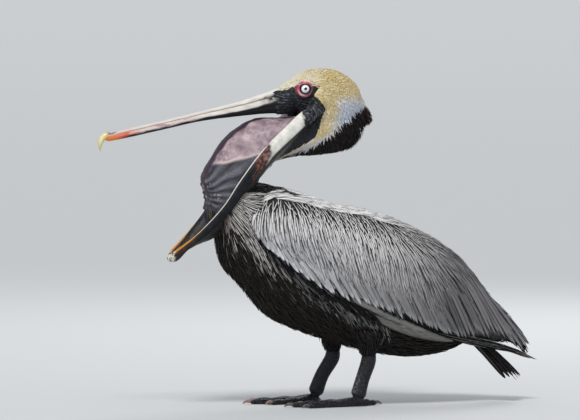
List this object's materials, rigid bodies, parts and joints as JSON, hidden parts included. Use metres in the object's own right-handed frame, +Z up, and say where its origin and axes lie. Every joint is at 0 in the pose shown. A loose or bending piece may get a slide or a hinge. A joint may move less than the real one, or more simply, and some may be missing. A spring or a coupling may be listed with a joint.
{
  "type": "brown pelican",
  "caption": "Life-size brown pelican standing on webbed feet, head thrown back, bill wide open, with the throat pouch turned up over the neck.",
  "frame": {"origin": "on the floor under the middle of the bird's length, between its feet's outer edges", "axes": "+Z up, -X the way the bird faces, -Y towards its left side"},
  "size_m": [0.7307, 0.2202, 0.5386],
  "materials": {
    "dark_plumage": "soft dark brown-black body and neck feathers with fine silver streaks",
    "pale_plumage": "short soft pale yellow head feathers, whiter at the neck",
    "silver_plumage": "silver-grey narrow feathers with dark edges",
    "flight_plumage": "grey-brown and black flight feathers with pale shafts",
    "tail_plumage": "black tail feathers with a faint grey bloom",
    "black_skin": "bare slate-black skin, scaled on the legs and feet, wrinkled on the face",
    "pouch_skin": "bare stretchy skin, mauve pink on the dome and slate grey in fine wrinkles below",
    "bill_horn": "satin ivory horn with black edges, pink and orange towards the tip",
    "nail_horn": "smooth pale yellow horn",
    "eye": "wet glossy white iris with a small black pupil"
  },
  "bodies": {
    "root": {"trunk": "dark_plumage", "bill_nail": "nail_horn", "upper_bill": "bill_horn", "head": "pale_plumage", "neck_lower": "dark_plumage", "neck_upper": "dark_plumage", "lower_bill_left": "bill_horn", "eye_left": "eye", "lower_bill_right": "bill_horn", "eye_right": "eye", "pouch": "pouch_skin", "tail": "tail_plumage", "wing_left_coverts": "silver_plumage", "wing_left_secondaries": "flight_plumage", "wing_left_primaries": "flight_plumage", "wing_right_coverts": "silver_plumage", "wing_right_secondaries": "flight_plumage", "wing_right_primaries": "flight_plumage", "foot_left": "black_skin", "thigh_left": "dark_plumage", "shank_left": "black_skin", "foot_right": "black_skin", "thigh_right": "dark_plumage", "shank_right": "black_skin"}
  },
  "joints": []
}
